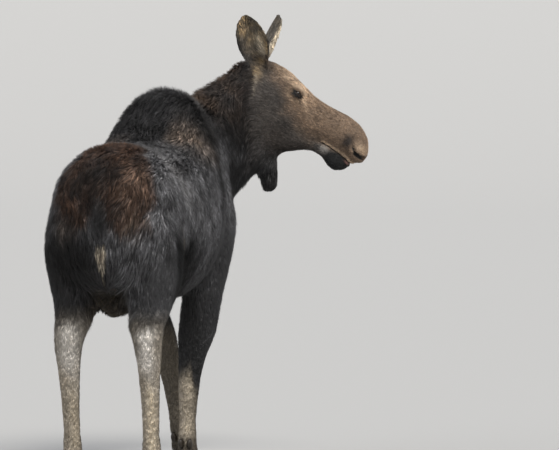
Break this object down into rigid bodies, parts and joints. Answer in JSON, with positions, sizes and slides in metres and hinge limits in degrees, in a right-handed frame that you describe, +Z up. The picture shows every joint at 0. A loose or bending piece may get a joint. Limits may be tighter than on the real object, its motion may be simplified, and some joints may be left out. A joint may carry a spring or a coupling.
{
  "type": "moose",
  "caption": "Life-size still model of a cow moose standing with its head turned to its right, with a shoulder hump, long legs, cupped ears and a bell at the throat",
  "frame": {"origin": "on the floor, under the middle of the bounding box", "axes": "the trunk runs along Y and faces -Y, the head is turned towards -X, +Z is up"},
  "size_m": [1.1592, 1.9702, 2.0865],
  "materials": {
    "dark_coat": "charcoal winter coat, coarse hair",
    "brown_coat": "dark brown coat with paler tips",
    "face_coat": "short tan and grey-brown face hair",
    "leg_coat": "short hair, charcoal above and silver-grey below the hock",
    "hoof_horn": "dark horn, satin",
    "eye": "dark brown eye, wet"
  },
  "bodies": {
    "root": {"bell": "dark_coat", "dewclaw_fore_left_inner": "hoof_horn", "dewclaw_fore_left_outer": "hoof_horn", "dewclaw_fore_right_inner": "hoof_horn", "dewclaw_fore_right_outer": "hoof_horn", "dewclaw_hind_left_inner": "hoof_horn", "dewclaw_hind_left_outer": "hoof_horn", "dewclaw_hind_right_inner": "hoof_horn", "dewclaw_hind_right_outer": "hoof_horn", "ear_left": "brown_coat", "ear_right": "brown_coat", "eye_left": "eye", "eye_right": "eye", "head": "face_coat", "hoof_fore_left_inner": "hoof_horn", "hoof_fore_left_outer": "hoof_horn", "hoof_fore_right_inner": "hoof_horn", "hoof_fore_right_outer": "hoof_horn", "hoof_hind_left_inner": "hoof_horn", "hoof_hind_left_outer": "hoof_horn", "hoof_hind_right_inner": "hoof_horn", "hoof_hind_right_outer": "hoof_horn", "leg_fore_left": "leg_coat", "leg_fore_right": "leg_coat", "leg_hind_left": "leg_coat", "leg_hind_right": "leg_coat", "neck": "brown_coat", "tail": "dark_coat", "trunk": "dark_coat"}
  },
  "joints": []
}
